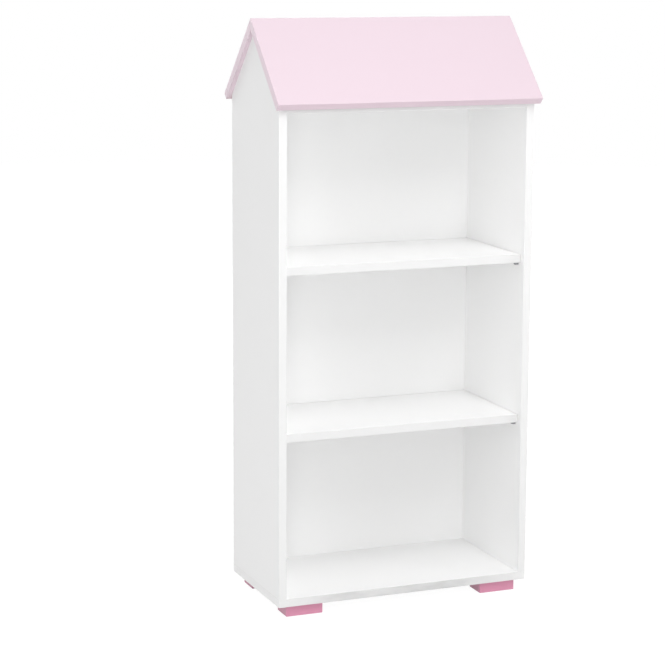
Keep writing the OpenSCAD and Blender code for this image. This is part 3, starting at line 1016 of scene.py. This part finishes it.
def dowelMesh(settings):
    half, chamfer, radius = settings["length"] / 2, settings["chamfer"], settings["radius"]
    perFlute = settings["stepsPerFlute"]
    steps = settings["flutes"] * perFlute
    outline = [
        (0, -half), (radius - chamfer, -half), (radius, chamfer - half),
        (radius, half - chamfer), (radius - chamfer, half), (0, half),
    ]
    bm = lathe(outline, steps)
    for vert in bm.verts:                   # sink a groove between every two ridges
        if vert.co.xy.length > settings["flutedFrom"] * radius * mm:
            step = round(math.atan2(vert.co.y, vert.co.x) / (2 * math.pi) * steps)
            if step % perFlute == 0:
                vert.co.xy *= 1 - settings["fluteDepth"] / radius
    return bm


def makeDowels(settings):
    for name, node, finish, turned in settings["sets"]:
        places = []
        for low, high in solidsOf(node, turned):
            way = alongZ(longWay((low, high)))
            places.append(turned @ Matrix.Translation((low + high) / 2) @ way)
        bm = repeated(dowelMesh(settings), places)
        piece = addPiece(bm, name, [finish], "case", "beech", node)
        shadeByAngle(piece, settings["smoothUnder"])


makeDowels(dowelSettings)

# Cams: the CAD shapes are right as they are
for camNode, camFinish in (("top_cam_bolts", zincPlate), ("top_cam_locks", castZinc)):
    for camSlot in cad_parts[camNode].material_slots:
        camSlot.material = camFinish
print("bookcase: dowels and cams made")


# Studio: a white floor that only keeps a soft shadow, and large soft lamps
floorSettings = {
    "reach": 9.0,
    "segments": 64,
    "bounce": 0.72,
    "mottled": 0.70,                        # the darker tone of its faint mottling
    "mottling": (3, 2),
    "roughness": 0.9,
    "shadow": 0.14,                         # the part of its shown tone that a shadow can darken
    "glow": 0.95,                           # the part that none can, near the bookcase
    "whiteFrom": (0.9, 2.2),                # distance over which the glow fades to pure white
}


def grey(level):
    return (level, level, level)


def makeFloor(settings):
    bm = bmesh.new()
    bmesh.ops.create_circle(
        bm, cap_ends=True, segments=settings["segments"], radius=settings["reach"],
    )
    mesh = bpy.data.meshes.new("studioFloor")
    bm.to_mesh(mesh)
    bm.free()
    floor = bpy.data.objects.new("studioFloor", mesh)
    scene.collection.objects.link(floor)
    finish = Finish("studioFloor")          # this shader only bounces light on to the bookcase
    mottling = finish.noise(*settings["mottling"])
    colour = finish.blend(mottling, grey(settings["bounce"]), grey(settings["mottled"]))
    finish.use("Base Color", colour)
    finish.use("Roughness", settings["roughness"])
    finish.use("Specular IOR Level", 0.0)
    distance = finish.node("VectorMath", {"operation": "LENGTH"}, {0: finish.place}, out="Value")
    near, far = settings["whiteFrom"]
    away = finish.node("MapRange", None, {"Value": distance, "From Min": near, "From Max": far})
    shown = finish.node("BsdfPrincipled", None, {
        "Base Color": (*grey(settings["shadow"]), 1),
        "Roughness": 1.0,
        "Specular IOR Level": 0.0,
        "Emission Color": finish.blend(away, grey(settings["glow"]), grey(1)),
        "Emission Strength": 1.0,
    })
    plain = Wire(finish, finish.shader.outputs[0])
    mixed = finish.node("MixShader", None, {0: finish.seenDirectly(), 1: plain, 2: shown})
    out = finish.tree.nodes["Material Output"].inputs["Surface"]
    finish.tree.links.new(mixed.socket, out)
    mesh.materials.append(finish.material)


makeFloor(floorSettings)


# World: white where the camera looks, and a faint even light on the bookcase
worldSettings = {"ambient": 0.10}


def makeWorld(settings):
    world = bpy.data.worlds.new("studioWorld")
    world.use_nodes = True
    scene.world = world
    book = NodeBook(world.node_tree)
    ambient = (*grey(settings["ambient"]), 1)
    around = book.node("Background", None, {"Color": ambient, "Strength": 1.0})
    white = book.node("Background", None, {"Color": (*grey(1), 1), "Strength": 1.0})
    mixed = book.node("MixShader", None, {0: book.seenDirectly(), 1: around, 2: white})
    book.tree.links.new(mixed.socket, book.tree.nodes["World Output"].inputs["Surface"])


makeWorld(worldSettings)


# Lamps: large and soft, most of them in front and to the sides, two behind for the back
lampSettings = {
    "frontLamp": {"place": (-1.52, -4.18, 1.84), "size": 2.0, "watts": 19},
    "lowFrontLamp": {"place": (-1.57, -4.32, 0.75), "size": 1.4, "watts": 42},
    "highFrontLamp": {"place": (0, -2.97, 3.62), "size": 2.0, "watts": 61},
    "topLamp": {"place": (0, -1.60, 3.42), "size": 1.4, "watts": 25},
    "leftLamp": {"place": (-3.57, -1.66, 1.34), "size": 2.2, "watts": 25},
    "farLeftLamp": {"place": (-2.76, 0, 2.96), "size": 2.2, "watts": 17.5},
    "rightFrontLamp": {"place": (2.86, -3.40, 1.84), "size": 2.0, "watts": 17},
    "rightLamp": {"place": (3.57, -1.66, 1.34), "size": 2.2, "watts": 48},
    "backLeftLamp": {"place": (-1.24, 3.42, 2.75), "size": 2.0, "watts": 70},
    "backRightLamp": {"place": (1.24, 3.42, 2.75), "size": 2.0, "watts": 70},
}
lampAim = (cadLow + cadHigh) / 2    # the middle of the bookcase


def makeLamps(settings):
    for name, lamp in settings.items():
        data = bpy.data.lights.new(name, "AREA")
        data.shape = "SQUARE"
        data.size = lamp["size"]
        data.energy = lamp["watts"]
        light = bpy.data.objects.new(name, data)
        scene.collection.objects.link(light)
        place = Vector(lamp["place"])
        facing = (lampAim - place).to_track_quat("-Z", "Y").to_matrix().to_4x4()
        light.matrix_world = Matrix.Translation(place) @ facing


makeLamps(lampSettings)
scene.view_settings.view_transform = "Standard"
print("bookcase: studio lit")
